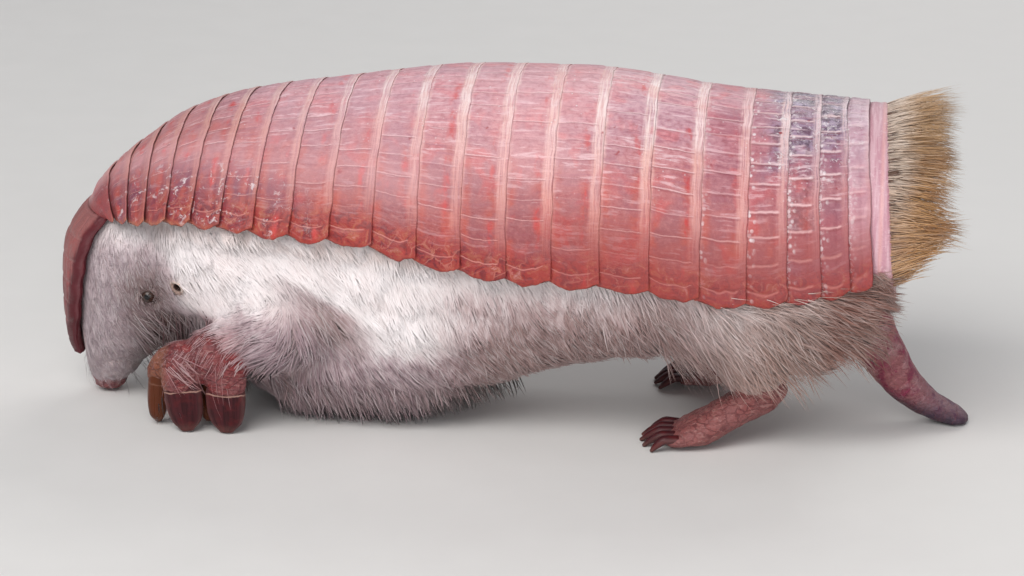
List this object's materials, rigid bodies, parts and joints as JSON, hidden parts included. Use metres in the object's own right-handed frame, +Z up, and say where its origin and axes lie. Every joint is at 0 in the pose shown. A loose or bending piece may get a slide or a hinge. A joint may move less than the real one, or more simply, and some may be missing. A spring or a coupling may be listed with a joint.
{
  "type": "armadillo",
  "caption": "Small armadillo with a banded dorsal shell, head bent down to the ground, large digging claws, a hair-fringed rump plate and a short tail.",
  "frame": {"origin": "centre of the overall box in X and Y, at its lowest level, which is the floor", "axes": "+X runs from the head to the tail, +Y to the animal's right side, +Z up"},
  "size_m": [0.1104, 0.0404, 0.0425],
  "materials": {
    "shell": "rose-pink horny plates with thin pale seams, satin",
    "head_plate": "crimson horny plates, satin",
    "rump_plate": "pale lilac-pink horny plate, satin",
    "fringe": "straw-coloured stiff hair",
    "fur": "silky white fur",
    "skin": "bare pink skin, slightly moist",
    "claw": "translucent purplish-pink horn, semi-gloss",
    "eye": "black, glossy"
  },
  "bodies": {
    "root": {"band_01": "shell", "band_02": "shell", "band_03": "shell", "band_04": "shell", "band_05": "shell", "band_06": "shell", "band_07": "shell", "band_08": "shell", "band_09": "shell", "band_10": "shell", "band_11": "shell", "band_12": "shell", "band_13": "shell", "band_14": "shell", "band_15": "shell", "band_16": "shell", "band_17": "shell", "band_18": "shell", "band_19": "shell", "band_20": "shell", "band_21": "shell", "band_22": "shell", "claw_fore_left_1": "claw", "claw_fore_left_2": "claw", "claw_fore_left_3": "claw", "claw_fore_left_4": "claw", "claw_fore_right_1": "claw", "claw_fore_right_2": "claw", "claw_fore_right_3": "claw", "claw_fore_right_4": "claw", "ear_left": "skin", "ear_right": "skin", "eye_left": "eye", "eye_right": "eye", "forefoot_left": "skin", "forefoot_right": "skin", "foreleg_left": "fur", "foreleg_right": "fur", "head": "fur", "head_shield": "head_plate", "hindfoot_left": "skin", "hindfoot_right": "skin", "hindleg_left": "fur", "hindleg_right": "fur", "neck": "fur", "nose": "skin", "rump_hair_left": "fringe", "rump_hair_right": "fringe", "rump_hair_top": "fringe", "rump_plate": "rump_plate", "tail": "skin", "trunk": "fur"}
  },
  "joints": []
}
